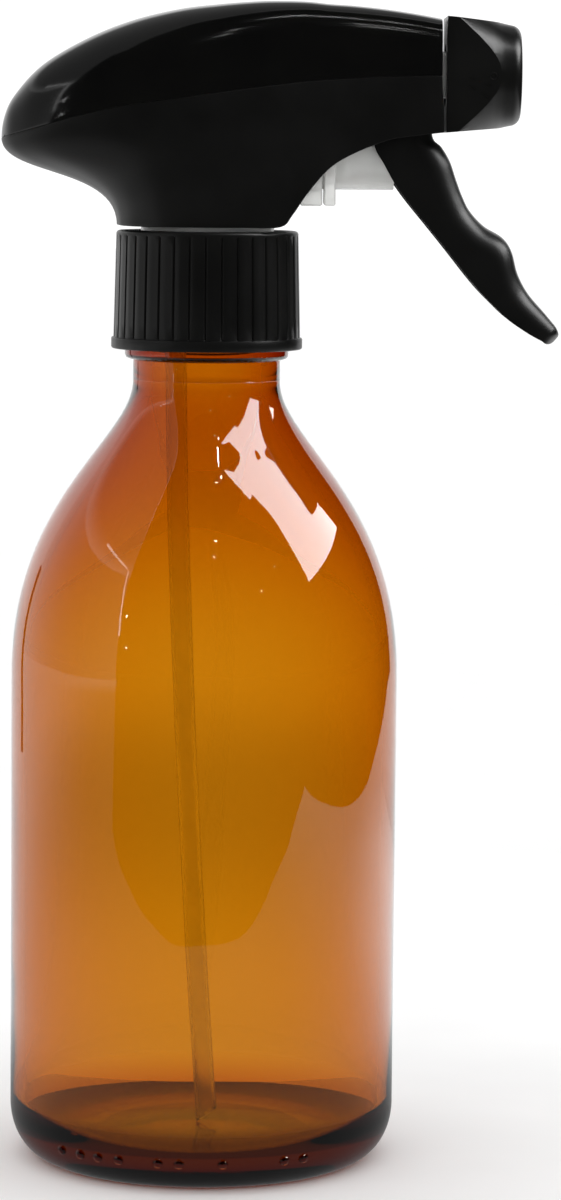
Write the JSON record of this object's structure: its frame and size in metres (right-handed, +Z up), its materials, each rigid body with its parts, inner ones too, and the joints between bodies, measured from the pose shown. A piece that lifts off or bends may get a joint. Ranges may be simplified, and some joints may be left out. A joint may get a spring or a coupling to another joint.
{
  "type": "spray bottle",
  "caption": "Round amber glass bottle with a screw-on black trigger sprayer that pumps liquid through a dip tube and a turning nozzle.",
  "frame": {"origin": "on the floor, below the middle of the whole object's box; the bottle's own axis stands at x = -12.35 mm", "axes": "+Z up along the bottle, +X the way it sprays, +Y across it"},
  "size_m": [0.0934, 0.065, 0.1945],
  "materials": {
    "amber_glass": "blown amber glass, polished, clear",
    "gloss_black_plastic": "glossy moulded black plastic",
    "satin_black_plastic": "satin moulded black plastic",
    "natural_plastic": "natural translucent moulded plastic",
    "tube_plastic": "extruded translucent plastic",
    "black_rubber": "moulded black rubber",
    "liner_foam": "white foamed sealing disc",
    "stainless_steel": "drawn and polished stainless steel"
  },
  "bodies": {
    "bottle": {"bottle": "amber_glass"},
    "head": {"sprayer_body": "natural_plastic", "upper_shroud": "gloss_black_plastic", "lower_shroud": "satin_black_plastic", "pump_cylinder": "natural_plastic", "cylinder_seal": "black_rubber", "closure_liner": "liner_foam", "tube_retainer": "natural_plastic", "dip_tube": "tube_plastic", "spinner": "natural_plastic", "nozzle_seal": "black_rubber"},
    "closure": {"closure": "satin_black_plastic"},
    "trigger": {"trigger": "satin_black_plastic"},
    "piston": {"piston_rod": "natural_plastic", "piston_cup": "black_rubber", "return_spring": "stainless_steel"},
    "nozzle": {"nozzle_cap": "gloss_black_plastic", "nozzle_insert": "gloss_black_plastic"},
    "inlet_ball": {"inlet_ball": "stainless_steel"},
    "outlet_valve": {"outlet_valve": "black_rubber"}
  },
  "joints": [
    {"name": "head_lift", "type": "slide", "parent": "bottle", "child": "head", "axis": [0, 0, 1], "range_m": [0, 0.00634]},
    {"name": "closure_turn", "type": "hinge", "parent": "head", "child": "closure", "pos_m": [-0.01235, 0, 0.14675], "axis": [0, 0, 1], "range_deg": [0, 540]},
    {"name": "trigger_squeeze", "type": "hinge", "parent": "head", "child": "trigger", "pos_m": [0.02025, 0, 0.183], "axis": [0, 1, 0], "range_deg": [0, 22], "stiffness_Nm_per_rad": 0.15, "springref_deg": -11.46},
    {"name": "piston_stroke", "type": "slide", "parent": "head", "child": "piston", "axis": [-1, 0, 0], "range_m": [0, 0.00496], "deforming": ["return_spring"]},
    {"name": "nozzle_turn", "type": "hinge", "parent": "head", "child": "nozzle", "pos_m": [0.02695, 0, 0.1825], "axis": [1, 0, 0], "continuous": true},
    {"name": "inlet_ball_lift", "type": "slide", "parent": "head", "child": "inlet_ball", "axis": [0, 0, 1], "range_m": [0, 0.0012]},
    {"name": "outlet_valve_lift", "type": "slide", "parent": "head", "child": "outlet_valve", "axis": [1, 0, 0], "range_m": [0, 0.0006], "stiffness_N_per_m": 40, "springref_m": -0.0003}
  ],
  "couplings": [
    {"joint": "closure_turn", "follows": "head_lift", "rad_per_m": 1484.2},
    {"joint": "piston_stroke", "follows": "trigger_squeeze", "m_per_rad": 0.0129}
  ]
}
